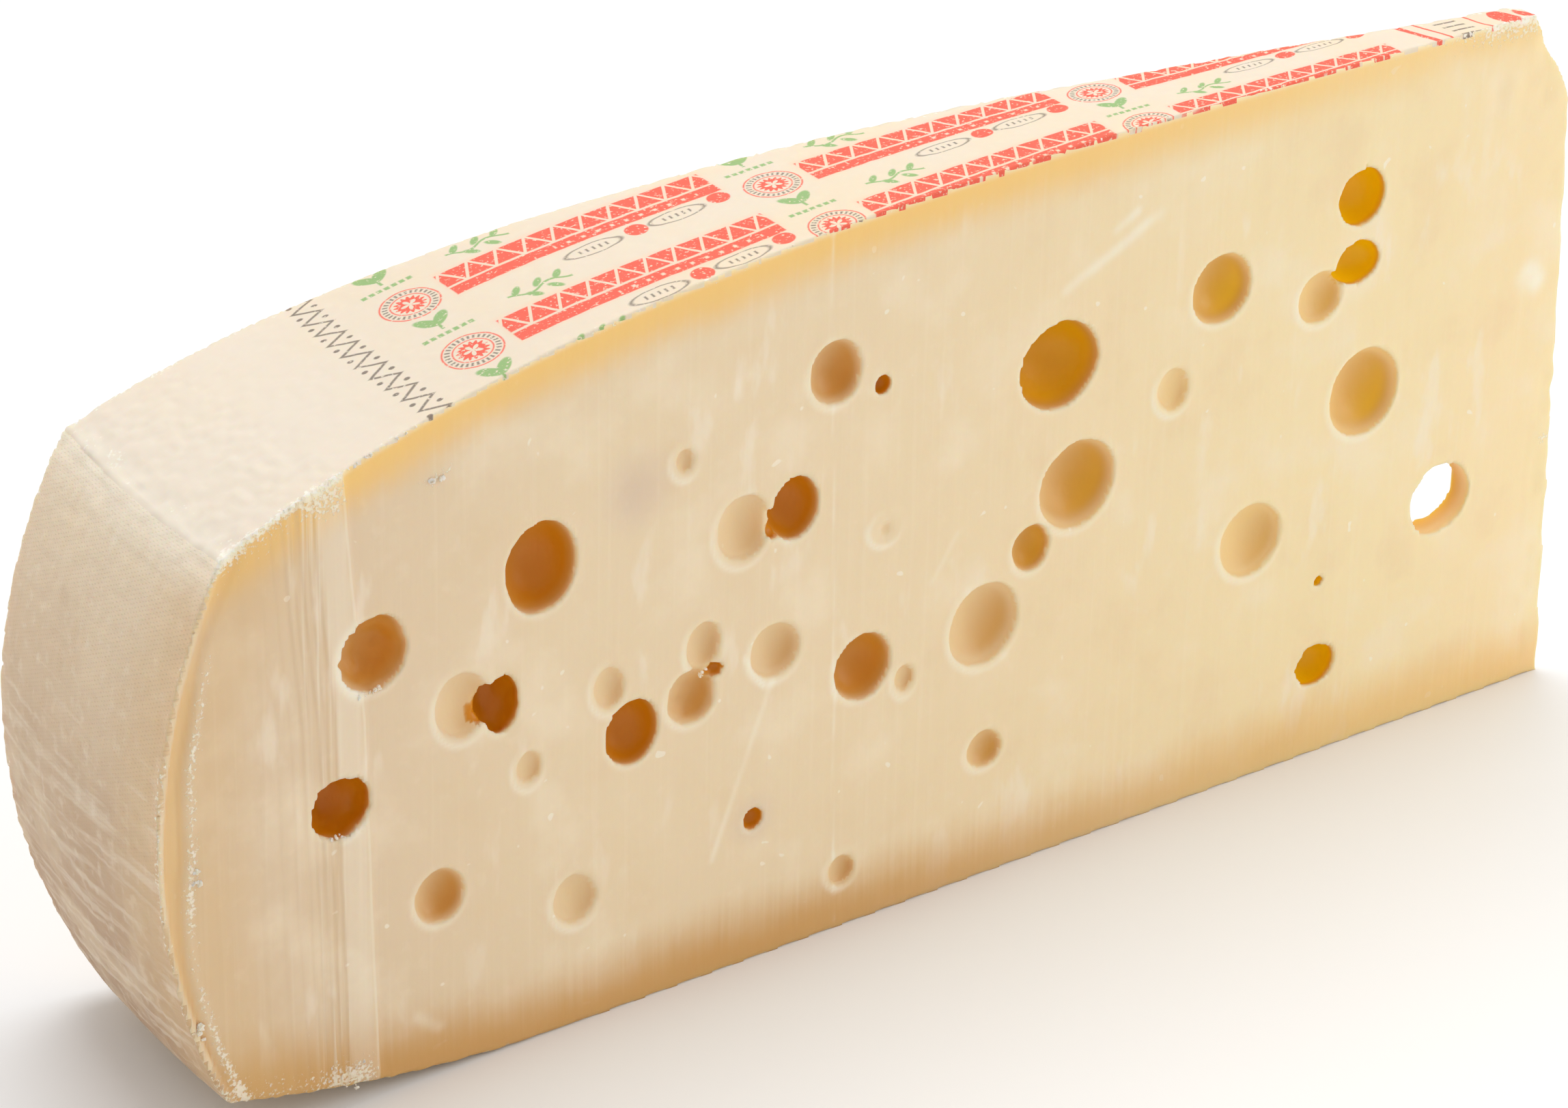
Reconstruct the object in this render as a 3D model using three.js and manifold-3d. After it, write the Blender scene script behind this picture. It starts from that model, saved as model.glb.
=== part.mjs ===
// A wedge cut from a big wheel of holed alpine cheese, standing on the wheel's flat side.
// Millimetres, +Z up. The wedge runs along X with its rim at -X and its thin tip at +X.
import * as THREE from 'three';
import { mergeVertices } from 'three/addons/utils/BufferGeometryUtils.js';
import Module from 'manifold-3d';

const wasm = await Module();
wasm.setup();

// Driving dimensions of the wheel
const wheelHeight = 205;           // at the axis, where the top is highest
const shoulderRadius = 392;        // where the domed top meets the bevel
const shoulderHeight = 160;
const rimTopRadius = 399;          // upper edge of the rim, below the bevel
const rimTopHeight = 156;
const rimBulge = 18;               // how far the rim swells past the line between its two edges
const rimFootRadius = 401;         // lower edge of the rim
const rimFootHeight = 13;
const restRadius = 300;            // the bottom is flat out to here, then curls up to the rim
const broadDome = 19;              // drop of the top from a wide, gentle dome
const edgeDomePower = 5;           // the rest of the drop comes close to the rim
const wheelSides = 120;

// Driving dimensions of the two knife cuts
const wedgeAngle = THREE.MathUtils.degToRad(10.8);
const sharpEdge = 51;              // the cuts would meet this far past the wheel's axis
const tipAtTop = 30;               // the tip is broken off here, and leans outward to its foot
const tipAtBottom = 40;
const brokenCorner = { along: 15, down: 27 };   // chip off the tip's upper corner

// Eyes of the two cut faces: distance from the sharp edge along the face, height, half width and half
// height of the mouth, and depth.
const frontEyes = [
  [419, 83, 8, 8, 11],
  [409, 121, 9.5, 10, 8],
  [391, 50, 7.5, 8, 5],
  [384, 100, 8.5, 10, 4],
  [373, 97, 5, 7.5, 10],
  [365, 77, 4.5, 5.5, 2],
  [361, 130, 10.5, 12, 11],
  [351, 36, 7.5, 8, 3],
  [341, 92, 5.5, 7, 2.5],
  [334, 77.5, 8, 9, 9],
  [319, 147, 4, 4.5, 1.5],
  [316, 82, 8, 8, 5],
  [312.5, 95, 6, 7.5, 3],
  [301, 124, 9, 10, 4],
  [296, 41, 3, 3, 4],
  [290, 87.5, 8.5, 8.5, 4],
  [285, 125.5, 7.5, 8.5, 8.5],
  [273, 159, 8.5, 9, 6],
  [267, 17, 5, 5, 2.5],
  [262, 74.5, 9.5, 9.5, 8],
  [258, 152, 2.5, 2.5, 4],
  [256, 112, 5, 4.5, 1],
  [248, 67, 4, 5, 2],
  [222, 75, 12, 12.5, 6.5],
  [220, 38, 6.5, 6, 3.5],
  [207, 93, 6.5, 7, 5],
  [200, 143, 13, 12, 12.5],
  [192, 107, 13, 13, 8.5],
  [160, 126, 6.5, 7, 2.5],
  [145, 151, 10.5, 10, 7],
  [129, 74, 11.5, 11.5, 5],
  [109, 140, 8.5, 8, 4],
  [102, 54, 1.5, 1.5, 3],
  [101, 28, 7, 6, 10],
  [96, 166, 8, 8, 11],
  [96, 147, 7.5, 6, 9],
  [90, 108, 13, 13.5, 8],
];
const backEyes = [
  [424, 104, 8, 9, 7],
  [402, 62, 10, 10, 9],
  [388, 138, 7, 8, 4],
  [372, 98, 12, 12, 10],
  [352, 44, 6, 6, 3],
  [340, 148, 9, 9, 8],
  [330, 104, 5, 6, 2],
  [318, 72, 11, 12, 8],
  [300, 134, 6, 6, 5],
  [288, 32, 8, 8, 4],
  [276, 100, 9, 9, 9],
  [262, 154, 7, 8, 3],
  [248, 62, 13, 12, 9],
  [236, 122, 5, 5, 6],
  [222, 152, 10, 9, 7],
  [212, 92, 8, 8, 3],
  [196, 40, 7, 7, 5],
  [180, 126, 12, 12, 6],
  [170, 78, 6, 7, 4],
  [150, 168, 6, 6, 4],
  [146, 106, 9, 9, 5],
  [138, 44, 8, 8, 4],
];
const throughEye = { out: 57, up: 67, radius: 12.5 };   // one bubble that both cuts opened

// Mesh fineness
const eyeRings = 4;
const eyeSides = 12;
const rimSteps = 12;
const topSteps = 14;
const bottomSteps = 6;
const cutterClearance = 3;         // how far a cutter stands out of the face that it cuts
const weldDistance = 1e-3;

const material = new THREE.MeshStandardMaterial({ color: 0xeed7a2, roughness: 0.55, metalness: 0 });

// A closed geometry as a solid that can be cut: shared corners merged, slivers on the axis dropped.
function toSolid(geometry) {
  const bare = geometry.clone();
  bare.deleteAttribute('normal');
  bare.deleteAttribute('uv');
  const welded = mergeVertices(bare, weldDistance);
  const corners = welded.index.array;
  const triangles = [];
  for (let i = 0; i < corners.length; i += 3) {
    const [a, b, c] = corners.slice(i, i + 3);
    if (a !== b && b !== c && c !== a) {
      triangles.push(a, b, c);
    }
  }
  return new wasm.Manifold(new wasm.Mesh({
    numProp: 3,
    vertProperties: new Float32Array(welded.attributes.position.array),
    triVerts: new Uint32Array(triangles),
  }));
}

function toGeometry(solid) {
  const mesh = solid.getMesh();
  const geometry = new THREE.BufferGeometry();
  geometry.setAttribute('position', new THREE.BufferAttribute(mesh.vertProperties, 3));
  geometry.setIndex(new THREE.BufferAttribute(mesh.triVerts, 1));
  return geometry;
}

// Height of the domed top: a wide shallow dome that falls away faster near the rim.
function topHeight(radius) {
  const q = radius / shoulderRadius;
  const edgeDrop = wheelHeight - shoulderHeight - broadDome;
  return wheelHeight - broadDome * q ** 2 - edgeDrop * q ** edgeDomePower;
}

function bottomHeight(radius) {
  return rimFootHeight * ((radius - restRadius) / (rimFootRadius - restRadius)) ** 2;
}

// The rim is a circular arc between its lower and upper edge.
function rimArc() {
  const foot = new THREE.Vector2(rimFootRadius, rimFootHeight);
  const head = new THREE.Vector2(rimTopRadius, rimTopHeight);
  const halfChord = foot.distanceTo(head) / 2;
  const radius = (halfChord ** 2 + rimBulge ** 2) / (2 * rimBulge);
  const middle = foot.clone().add(head).divideScalar(2);
  const centre = middle.sub(new THREE.Vector2(radius - rimBulge, 0));
  const start = Math.atan2(foot.y - centre.y, foot.x - centre.x);
  const end = Math.atan2(head.y - centre.y, head.x - centre.x);
  return new THREE.EllipseCurve(centre.x, centre.y, radius, radius, start, end).getPoints(rimSteps);
}

// The whole wheel, turned about its axis from the middle of the bottom round to the middle of the top.
function wheel() {
  const profile = [new THREE.Vector2(0, 0)];
  for (let i = 0; i < bottomSteps; i += 1) {
    const radius = THREE.MathUtils.lerp(restRadius, rimFootRadius, i / bottomSteps);
    profile.push(new THREE.Vector2(radius, bottomHeight(radius)));
  }
  profile.push(...rimArc());
  for (let i = 0; i <= topSteps; i += 1) {
    const radius = shoulderRadius * (1 - (i / topSteps) ** 1.5);
    profile.push(new THREE.Vector2(radius, topHeight(radius)));
  }
  return toSolid(new THREE.LatheGeometry(profile, wheelSides).rotateX(Math.PI / 2));
}

// The space between the two knife cuts, seen in plan as a long narrow triangle.
function betweenCuts() {
  const reach = sharpEdge + 1.2 * rimFootRadius;
  const halfWidth = reach * Math.tan(wedgeAngle / 2);
  const plan = new THREE.Shape([
    new THREE.Vector2(sharpEdge, 0),
    new THREE.Vector2(sharpEdge - reach, halfWidth),
    new THREE.Vector2(sharpEdge - reach, -halfWidth),
  ]);
  const tall = { depth: 1.5 * wheelHeight, bevelEnabled: false };
  return toSolid(new THREE.ExtrudeGeometry(plan, tall).translate(0, 0, -0.25 * wheelHeight));
}

// A block that takes away everything past a plane at the tip: the plane runs through two points of the
// tip's side view and is square to it.
function pastTip(lowX, lowZ, highX, highZ) {
  const block = 2 * wheelHeight;
  const lean = Math.atan2(lowX - highX, highZ - lowZ);
  return toSolid(new THREE.BoxGeometry(block, block, 2 * block)
    .translate(block / 2, 0, 0)
    .rotateY(-lean)
    .translate(lowX, 0, lowZ));
}

// An eye is the part of a round gas bubble behind the cut face. The cutter is a ball segment with its mouth
// on the plane y = 0 and its deepest point at -Y, with a short collar in front of the face.
function eyeCutter(halfWidth, halfHeight, depth) {
  const mouth = (halfWidth + halfHeight) / 2;
  const ball = (mouth ** 2 + depth ** 2) / (2 * depth);
  const centre = ball - depth;
  const sweep = Math.atan2(mouth, centre);
  const profile = [];
  for (let i = 0; i <= eyeRings; i += 1) {
    const angle = sweep * i / eyeRings;
    profile.push(new THREE.Vector2(ball * Math.sin(angle), centre - ball * Math.cos(angle)));
  }
  profile[0].x = 0;
  profile.push(new THREE.Vector2(mouth, cutterClearance), new THREE.Vector2(0, cutterClearance));
  return new THREE.LatheGeometry(profile, eyeSides).scale(halfWidth / mouth, 1, halfHeight / mouth);
}

// Cutters of all eyes of one cut face. Side is -1 for the front face (toward -Y) and +1 for the back.
function eyeCutters(eyes, side) {
  const half = wedgeAngle / 2;
  const outward = new THREE.Vector3(Math.sin(half), side * Math.cos(half), 0);
  const alongFace = new THREE.Vector3(-Math.cos(half), side * Math.sin(half), 0);
  const up = new THREE.Vector3().crossVectors(alongFace, outward);
  const turn = new THREE.Matrix4().makeBasis(alongFace, outward, up);
  return eyes.map(([out, height, halfWidth, halfHeight, depth]) => {
    const place = alongFace.clone().multiplyScalar(out);
    const cutter = eyeCutter(halfWidth, halfHeight, depth).applyMatrix4(turn);
    return toSolid(cutter.translate(sharpEdge + place.x, place.y, height));
  });
}

function throughCutter({ out, up, radius }) {
  const ball = new THREE.SphereGeometry(radius, eyeSides, eyeSides);
  return toSolid(ball.translate(sharpEdge - out, 0, up));
}

const cutters = [
  pastTip(tipAtBottom, 0, tipAtTop, wheelHeight),
  pastTip(tipAtTop, wheelHeight - brokenCorner.down, tipAtTop - brokenCorner.along, wheelHeight),
  ...eyeCutters(frontEyes, -1),
  ...eyeCutters(backEyes, 1),
  throughCutter(throughEye),
];
const wedge = cutters.reduce((body, cutter) => body.subtract(cutter), wheel().intersect(betweenCuts()));

// The origin goes to the middle of the wedge's box, on the surface that it stands on.
const geometry = toGeometry(wedge);
geometry.computeBoundingBox();
const box = geometry.boundingBox;
geometry.translate(-(box.min.x + box.max.x) / 2, -(box.min.y + box.max.y) / 2, -box.min.z);

const cheese = new THREE.Mesh(geometry, material);
cheese.name = 'cheese_wedge';

const group = new THREE.Group();
group.add(cheese);

export default group;
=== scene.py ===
import math

import bmesh
import bpy
import numpy as np
from mathutils import Matrix, Vector


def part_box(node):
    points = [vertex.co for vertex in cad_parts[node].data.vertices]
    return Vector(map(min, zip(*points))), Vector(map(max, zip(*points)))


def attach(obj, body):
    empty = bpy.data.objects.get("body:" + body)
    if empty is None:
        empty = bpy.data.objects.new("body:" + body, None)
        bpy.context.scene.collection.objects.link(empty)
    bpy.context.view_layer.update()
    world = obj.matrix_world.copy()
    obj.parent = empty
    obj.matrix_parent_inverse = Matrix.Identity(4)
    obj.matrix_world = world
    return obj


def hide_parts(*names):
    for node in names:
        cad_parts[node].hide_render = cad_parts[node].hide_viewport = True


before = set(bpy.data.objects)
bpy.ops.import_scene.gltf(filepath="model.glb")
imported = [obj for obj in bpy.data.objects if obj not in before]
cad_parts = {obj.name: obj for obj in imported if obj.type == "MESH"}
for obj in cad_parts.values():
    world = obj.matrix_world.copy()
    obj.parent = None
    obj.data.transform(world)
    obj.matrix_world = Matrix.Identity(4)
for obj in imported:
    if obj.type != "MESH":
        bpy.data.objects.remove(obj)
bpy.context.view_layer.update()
scene = bpy.context.scene


# ---------------------------------------------------------------------------------------------
# The camera stands on the rim side of the front cut face, a good metre away, and looks down on
# the top.
camera = bpy.data.objects.new("camera", bpy.data.cameras.new("camera"))
scene.collection.objects.link(camera)
scene.camera = camera
camera.data.sensor_width = 36.0
camera.data.lens = 111.3
camera.data.clip_end = 20.0
look_at = Vector((-0.0230, 0.0102, 0.0923))
stand_off = 1.2532
turn = math.radians(32.43)
rise = math.radians(25.74)
roll = math.radians(1.27)
away = Vector((-math.sin(turn) * math.cos(rise), -math.cos(turn) * math.cos(rise), math.sin(rise)))
camera.matrix_world = (
    Matrix.Translation(look_at + away * stand_off)
    @ away.to_track_quat("Z", "Y").to_matrix().to_4x4()
    @ Matrix.Rotation(roll, 4, "Z")
)


# ---------------------------------------------------------------------------------------------
# The wedge. A wheel of hard alpine cheese is pressed in a round mould, so its rim swells, and gas
# domes its top. Two straight cuts that meet just past the wheel's axis free the wedge.
MM = 0.001
_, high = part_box("cheese_wedge")
wheel_height = high.z
wheel_axis = high.x - 40 * MM
sharp_edge = wheel_axis + 51 * MM
half_angle = math.radians(5.4)
shoulder_radius = 392 * MM
shoulder_height = 160 * MM
rim_top = (399 * MM, 156 * MM)
rim_foot = (401 * MM, 13 * MM)
rim_bulge = 18 * MM
rest_radius = 300 * MM
broad_dome = 19 * MM
tip_foot = 11 * MM
tip_lean = 10 * MM
broken_corner = 15 * MM
broken_from = 0.868


def radius_of(x, y):
    return np.hypot(x - wheel_axis, y)


def top_height(radius):
    q = radius / shoulder_radius
    edge_drop = wheel_height - shoulder_height - broad_dome
    dome = wheel_height - broad_dome * q**2 - edge_drop * q**5
    slope = (rim_top[1] - shoulder_height) / (rim_top[0] - shoulder_radius)
    return np.where(q > 1, shoulder_height + slope * (radius - shoulder_radius), dome)


def bottom_height(radius):
    curl = np.clip((radius - rest_radius) / (rim_foot[0] - rest_radius), 0, None)
    return rim_foot[1] * curl**2


def rim_radius(share):
    """Radius of the swollen rim, from its foot (share 0) to its upper edge (share 1)."""
    chord = math.dist(rim_top, rim_foot)
    ball = (chord**2 / 4 + rim_bulge**2) / (2 * rim_bulge)
    swell = np.sqrt(ball**2 - ((share - 0.5) * chord) ** 2) - (ball - rim_bulge)
    return rim_foot[0] + (rim_top[0] - rim_foot[0]) * share + swell


def reach_at(along, fan, up):
    """Distance from the sharp edge, where both cuts would meet."""
    past_axis = sharp_edge - wheel_axis
    broken = np.clip((up - broken_from) / (1 - broken_from), 0, 1)
    tip = tip_foot + tip_lean * up + broken_corner * broken
    rim = past_axis * np.cos(fan) + np.sqrt(rim_radius(up) ** 2 - (past_axis * np.sin(fan)) ** 2)
    return tip + (rim - tip) * along


def wedge_point(along, across, up):
    """A point of the wedge: along 0 to 1 is tip to rim, across -1 to 1 front to back, up 0 to 1."""
    fan = across * half_angle
    foot_reach = reach_at(along, fan, np.zeros_like(up))
    head_reach = reach_at(along, fan, np.ones_like(up))
    foot = bottom_height(radius_of(sharp_edge - foot_reach * np.cos(fan), foot_reach * np.sin(fan)))
    head = top_height(radius_of(sharp_edge - head_reach * np.cos(fan), head_reach * np.sin(fan)))
    reach = reach_at(along, fan, up)
    return np.stack(
        [sharp_edge - reach * np.cos(fan), reach * np.sin(fan), foot + (head - foot) * up], axis=-1
    )


def wedge_mesh():
    """The closed wedge without eyes, as six sheets of quads welded along their edges."""
    spans = {"along": (0, 1, 150), "across": (-1, 1, 30), "up": (0, 1, 70)}
    points = []
    quads = []
    for held in spans:
        first, second = (name for name in spans if name != held)
        for level in spans[held][:2]:
            a, b = np.meshgrid(
                np.linspace(*spans[first]), np.linspace(*spans[second]), indexing="ij"
            )
            place = {held: np.full(a.shape, float(level)), first: a, second: b}
            start = len(points)
            points.extend(wedge_point(**place).reshape(-1, 3).tolist())
            corner = start + np.arange(a.size).reshape(a.shape)
            ring = (corner[:-1, :-1], corner[1:, :-1], corner[1:, 1:], corner[:-1, 1:])
            quads.extend(np.stack([c.ravel() for c in ring], axis=1).tolist())
    mesh = bpy.data.meshes.new("wedge")
    mesh.from_pydata(points, [], quads)
    shell = bmesh.new()
    shell.from_mesh(mesh)
    bmesh.ops.remove_doubles(shell, verts=shell.verts, dist=0.01 * MM)
    bmesh.ops.recalc_face_normals(shell, faces=shell.faces)
    shell.to_mesh(mesh)
    shell.free()
    return mesh


wedge = bpy.data.objects.new("wedge", wedge_mesh())
scene.collection.objects.link(wedge)


# ---------------------------------------------------------------------------------------------
# The eyes. Gas bubbles grew in the warm paste, and the knife opened the ones in its way. Each is
# given by its distance from the sharp edge, height, half width and half height of the mouth, and
# depth, all in millimetres.
front_eyes = [
    (419, 83, 8, 8, 11),
    (409, 121, 9.5, 10, 8),
    (391, 50, 7.5, 8, 5),
    (384, 100, 8.5, 10, 4),
    (373, 97, 5, 7.5, 10),
    (365, 77, 4.5, 5.5, 2),
    (361, 130, 10.5, 12, 11),
    (351, 36, 7.5, 8, 3),
    (341, 92, 5.5, 7, 2.5),
    (334, 77.5, 8, 9, 9),
    (319, 147, 4, 4.5, 1.5),
    (316, 82, 8, 8, 5),
    (312.5, 95, 6, 7.5, 3),
    (301, 124, 9, 10, 4),
    (296, 41, 3, 3, 4),
    (290, 87.5, 8.5, 8.5, 4),
    (285, 125.5, 7.5, 8.5, 8.5),
    (273, 159, 8.5, 9, 6),
    (267, 17, 5, 5, 2.5),
    (262, 74.5, 9.5, 9.5, 8),
    (258, 152, 2.5, 2.5, 4),
    (256, 112, 5, 4.5, 1),
    (248, 67, 4, 5, 2),
    (222, 75, 12, 12.5, 6.5),
    (220, 38, 6.5, 6, 3.5),
    (207, 93, 6.5, 7, 5),
    (200, 143, 13, 12, 12.5),
    (192, 107, 13, 13, 8.5),
    (160, 126, 6.5, 7, 2.5),
    (145, 151, 10.5, 10, 7),
    (129, 74, 11.5, 11.5, 5),
    (109, 140, 8.5, 8, 4),
    (102, 54, 1.5, 1.5, 3),
    (101, 28, 7, 6, 10),
    (96, 166, 8, 8, 11),
    (96, 147, 7.5, 6, 9),
    (90, 108, 13, 13.5, 8),
    (57, 67, 11, 10, 18),
    (308.5, 87.5, 2.2, 1.8, 3),
    (291.5, 121, 1.6, 2.6, 3),
    (379, 96, 2.4, 2.2, 3),
]
back_eyes = [
    (424, 104, 8, 9, 7),
    (402, 62, 10, 10, 9),
    (388, 138, 7, 8, 4),
    (372, 98, 12, 12, 10),
    (352, 44, 6, 6, 3),
    (340, 148, 9, 9, 8),
    (330, 104, 5, 6, 2),
    (318, 72, 11, 12, 8),
    (300, 134, 6, 6, 5),
    (288, 32, 8, 8, 4),
    (276, 100, 9, 9, 9),
    (262, 154, 7, 8, 3),
    (248, 62, 13, 12, 9),
    (236, 122, 5, 5, 6),
    (222, 152, 10, 9, 7),
    (212, 92, 8, 8, 3),
    (196, 40, 7, 7, 5),
    (180, 126, 12, 12, 6),
    (170, 78, 6, 7, 4),
    (150, 168, 6, 6, 4),
    (146, 106, 9, 9, 5),
    (138, 44, 8, 8, 4),
]
faces = {-1: front_eyes, 1: back_eyes}
torn_eyes = [(419, 83), (409, 121), (373, 97), (316, 82)]
uneven = 0.04
ragged = 0.06
voxel = 1.0 * MM


def outward(side):
    """The way that a cut face looks: side is -1 for the front face and 1 for the back face."""
    return Vector((math.sin(half_angle), side * math.cos(half_angle), 0))


def along_face(side):
    return Vector((-math.cos(half_angle), side * math.sin(half_angle), 0))


def noise(points, lump, seed):
    """Smooth random values from -1 to 1, one for each point, with lumps of a size in metres."""
    repeat = 32
    table = np.random.default_rng(seed).uniform(-1, 1, (repeat, repeat, repeat))
    scaled = points / lump
    cell = np.floor(scaled).astype(int)
    part = scaled - cell
    part = part * part * (3 - 2 * part)
    total = np.zeros(len(points))
    for corner in np.ndindex(2, 2, 2):
        weight = np.prod(np.where(corner, part, 1 - part), axis=1)
        i, j, k = ((cell + corner) % repeat).T
        total += weight * table[i, j, k]
    return total


def ball_of(half_width, half_height, depth):
    """Radius of the bubble that leaves such a mouth and depth, and the mouth's mean radius."""
    mouth = (half_width + half_height) / 2
    return (mouth**2 + depth**2) / (2 * depth), mouth


def cut_eye(number, side, eye):
    out, up, half_width, half_height, depth = (size * MM for size in eye)
    ball, mouth = ball_of(half_width, half_height, depth)
    bubble = bmesh.new()
    bmesh.ops.create_uvsphere(bubble, u_segments=56, v_segments=36, radius=ball)
    places = np.array([v.co for v in bubble.verts])
    swell = uneven * noise(places + number * 0.1, 0.9 * mouth, 11)
    if side < 0 and eye[:2] in torn_eyes:
        swell += ragged * noise(places, 0.22 * mouth, 12)
    places *= (1 + swell)[:, None]
    centre = Vector((sharp_edge, 0, up)) + along_face(side) * out + outward(side) * (ball - depth)
    for vertex, (a, b, c) in zip(bubble.verts, places):
        spread = along_face(side) * (a * half_width / mouth) + outward(side) * b
        vertex.co = centre + spread + Vector((0, 0, c * half_height / mouth))
    if side > 0:
        bmesh.ops.reverse_faces(bubble, faces=bubble.faces)
    mesh = bpy.data.meshes.new("bubble")
    bubble.to_mesh(mesh)
    bubble.free()
    cutter = bpy.data.objects.new("bubble", mesh)
    scene.collection.objects.link(cutter)
    scoop = wedge.modifiers.new("eye", "BOOLEAN")
    scoop.operation = "DIFFERENCE"
    scoop.solver = "MANIFOLD"
    scoop.object = cutter
    return cutter


bubbles = [
    cut_eye(number, side, eye) for side, eyes in faces.items() for number, eye in enumerate(eyes)
]
even_mesh = wedge.modifiers.new("even mesh", "REMESH")
even_mesh.mode = "VOXEL"
even_mesh.voxel_size = voxel
fine = bpy.data.meshes.new_from_object(wedge.evaluated_get(bpy.context.evaluated_depsgraph_get()))
wedge.modifiers.clear()
wedge.data = fine
for bubble in bubbles:
    bpy.data.objects.remove(bubble)


# ---------------------------------------------------------------------------------------------
# The worked surface. The knife leaves waves, streaks and a seam where it was set in again, the
# paste sags in below the rind, and the rim keeps the wrinkles of its pressing cloth.
def read(values, name):
    flat = np.empty(3 * len(values))
    values.foreach_get(name, flat)
    return flat.reshape(-1, 3)


def ramp(value, start, stop):
    """Smooth step from 0 at start to 1 at stop."""
    share = np.clip((value - start) / (stop - start), 0, 1)
    return share * share * (3 - 2 * share)


def bell(value, middle, spread):
    return np.exp(-(((value - middle) / spread) ** 2))


points = read(fine.vertices, "co")
normals = read(fine.vertex_normals, "vector")
height = points[:, 2]
radius = radius_of(points[:, 0], points[:, 1])
from_edge = points - [sharp_edge, 0, 0]
out = {side: from_edge @ along_face(side) for side in faces}
proud = {side: from_edge @ outward(side) for side in faces}
below_top = top_height(radius) - height
over_bottom = height - bottom_height(radius)
rim_share = (height - rim_foot[1]) / (rim_top[1] - rim_foot[1])
inside_rim = rim_radius(np.clip(rim_share, 0, 1)) - radius

facing_rim = (wheel_axis - points[:, 0]) / radius * -1
outer_normal = normals[:, 0] * facing_rim + normals[:, 1] * points[:, 1] / radius
on_top = ramp(normals[:, 2], 0.3, 0.7) * ramp(below_top, 2 * MM, 0.8 * MM)
on_rim = ramp(outer_normal, 0.3, 0.7) * ramp(inside_rim, 2.5 * MM, 1 * MM)
on_cut = {
    side: ramp(normals @ outward(side), 0.4, 0.8) * ramp(proud[side], -1.2 * MM, -0.5 * MM)
    for side in faces
}
cut = on_cut[-1] + on_cut[1]

# The voxels leave small steps on the plain faces, which are pressed back onto the true shape.
points[:, 2] += on_top * below_top
radial = np.stack([(points[:, 0] - wheel_axis) / radius, points[:, 1] / radius], axis=1)
points[:, :2] += radial * (on_rim * inside_rim)[:, None]
for side in faces:
    points -= (on_cut[side] * proud[side])[:, None] * np.array(outward(side))

eye_colour_shade_glow = np.zeros(len(points))
lip = np.zeros(len(points))
lip_painted_highlight = np.zeros(len(points))
for side, eyes in faces.items():
    for eye_out, eye_up, half_width, half_height, depth in np.array(eyes) * MM:
        ball, mouth = ball_of(half_width, half_height, depth)
        across = (out[side] - eye_out) / half_width
        rise_in_eye = (height - eye_up) / half_height
        spread = np.hypot(across, rise_in_eye)
        sunk = -proud[side]
        inside = (spread < 1.12 * max(1, ball / mouth)) & (sunk < 1.1 * depth)
        inside &= (on_cut[side] < 0.6) & (sunk > 0.1 * MM)
        steepness = min(depth / mouth, 1.25) / 1.25
        # Each eye wall's colour share: partly the walls' own deeper yellow, partly painted shade
        # that grows with the eye's depth and steepness, and partly a painted glow on the lower,
        # tip-side walls.
        wall_colour_shade_glow = steepness * (0.45 + 0.55 * ramp(sunk, 0, 0.6 * depth)) * ramp(sunk, 0, 0.9 * MM)
        glow = np.clip(-0.8 * across - 0.45 * rise_in_eye, -1, 1)
        wall_colour_shade_glow *= 0.82 + 0.12 * steepness + (0.28 + 0.5 * (1 - steepness)) * glow
        if eye_out < 70 * MM:
            wall_colour_shade_glow *= 0.5
        eye_colour_shade_glow = np.maximum(eye_colour_shade_glow, np.where(inside, wall_colour_shade_glow, 0))
        edge = bell((spread - 1) * mouth, 0.3 * MM, 1.0 * MM) * (sunk < 1.5 * MM)
        lip = np.maximum(lip, edge)
        # A painted highlight on the lower, rim-side lip of each shallower eye.
        halo = bell((spread - 1) * mouth, 0.7 * MM, 1.3 * MM) * (sunk < 1.5 * MM)
        low_left = 0.55 + 0.45 * np.clip(0.7 * across - 0.7 * rise_in_eye, -1, 1)
        lip_painted_highlight = np.maximum(lip_painted_highlight, halo * low_left * (1.15 - 0.6 * steepness))

seam = np.interp(height, np.array([6, 105, 167]) * MM, np.array([409.5, 412, 416.6]) * MM)
past_seam = out[-1] - seam
knife_zone = on_cut[-1] * ramp(past_seam, -0.6 * MM, 0.6 * MM)
streak_places = np.stack([out[-1], 0 * height, 0.03 * height], axis=1)
streaks = noise(streak_places, 1.7 * MM, 31) + 0.6 * noise(streak_places, 4.5 * MM, 32)

gutter_width = np.interp(height, np.array([13, 50, 83, 124, 156]) * MM,
                         np.array([2.5, 4, 7, 5, 5]) * MM) + 0.5 * MM * noise(points, 15 * MM, 35)
gutter = np.clip(cut, 0, 1) * ramp(inside_rim, 1 * MM, 2.5 * MM)
gutter *= ramp(inside_rim, gutter_width + 1 * MM, gutter_width - 1 * MM)
gutter *= ramp(height, 8 * MM, 25 * MM) * (0.35 + 0.65 * ramp(height, 150 * MM, 110 * MM))

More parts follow.
